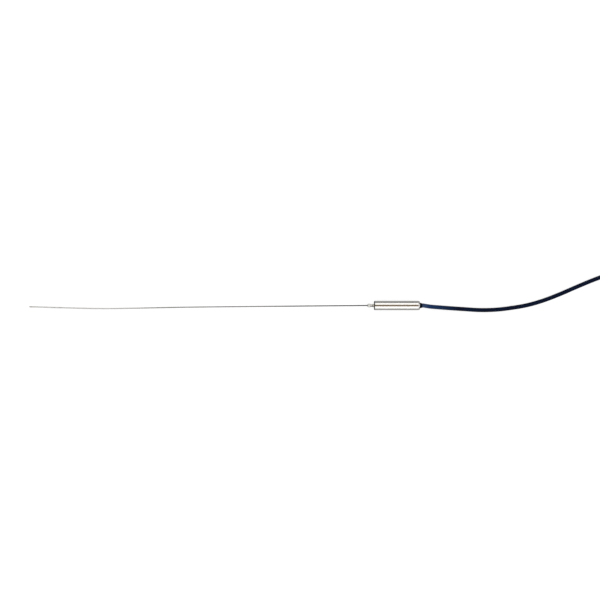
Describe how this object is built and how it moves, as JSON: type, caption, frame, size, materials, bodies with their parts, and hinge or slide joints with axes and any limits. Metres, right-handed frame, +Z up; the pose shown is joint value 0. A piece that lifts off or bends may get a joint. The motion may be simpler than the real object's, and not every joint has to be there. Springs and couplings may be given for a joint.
{
  "type": "thermocouple probe",
  "caption": "Metal-sheathed thermocouple probe: thin bowed stem, steel pot with a rubber bush, and a navy lead with bare tails, its spare length wound in a coil.",
  "frame": {"origin": "on the table under the middle of the rigid probe, stem tip to bush, lead left out", "axes": "+X along the probe from the stem's tip to the lead, +Z up from the table"},
  "size_m": [0.607, 0.054, 0.008],
  "materials": {
    "pot_steel": "bright turned stainless steel",
    "ferrule_steel": "pale satin stainless steel",
    "sheath_steel": "drawn and annealed, satin grey",
    "positive_alloy": "drawn thermocouple alloy",
    "negative_alloy": "drawn thermocouple alloy",
    "crimp_nickel": "nickel-plated crimp",
    "mineral": "packed mineral powder, chalky white",
    "seal_resin": "amber resin",
    "potting_resin": "dark casting resin",
    "clear_sleeve": "pale insulating sleeve",
    "black_rubber": "smooth black rubber",
    "blue_jacket": "glossy navy blue plastic",
    "red_core": "red core insulation",
    "white_core": "white core insulation"
  },
  "bodies": {
    "root": {"sheath": "sheath_steel", "mineral_core": "mineral", "positive_wire": "positive_alloy", "negative_wire": "negative_alloy", "hot_junction": "negative_alloy", "neck_ferrule": "ferrule_steel", "pot_sleeve": "pot_steel", "cold_end_seal": "seal_resin", "splice_positive": "crimp_nickel", "splice_negative": "crimp_nickel", "splice_sleeve_positive": "clear_sleeve", "splice_sleeve_negative": "clear_sleeve", "core_positive": "red_core", "core_negative": "white_core", "strands_positive": "positive_alloy", "strands_negative": "negative_alloy", "potting": "potting_resin", "cable_bush": "black_rubber", "cable_lead": "blue_jacket", "cable_coil": "blue_jacket", "cable_tail": "blue_jacket", "tail_core_positive": "red_core", "tail_core_negative": "white_core", "tail_strands_positive": "positive_alloy", "tail_strands_negative": "negative_alloy"}
  },
  "joints": []
}
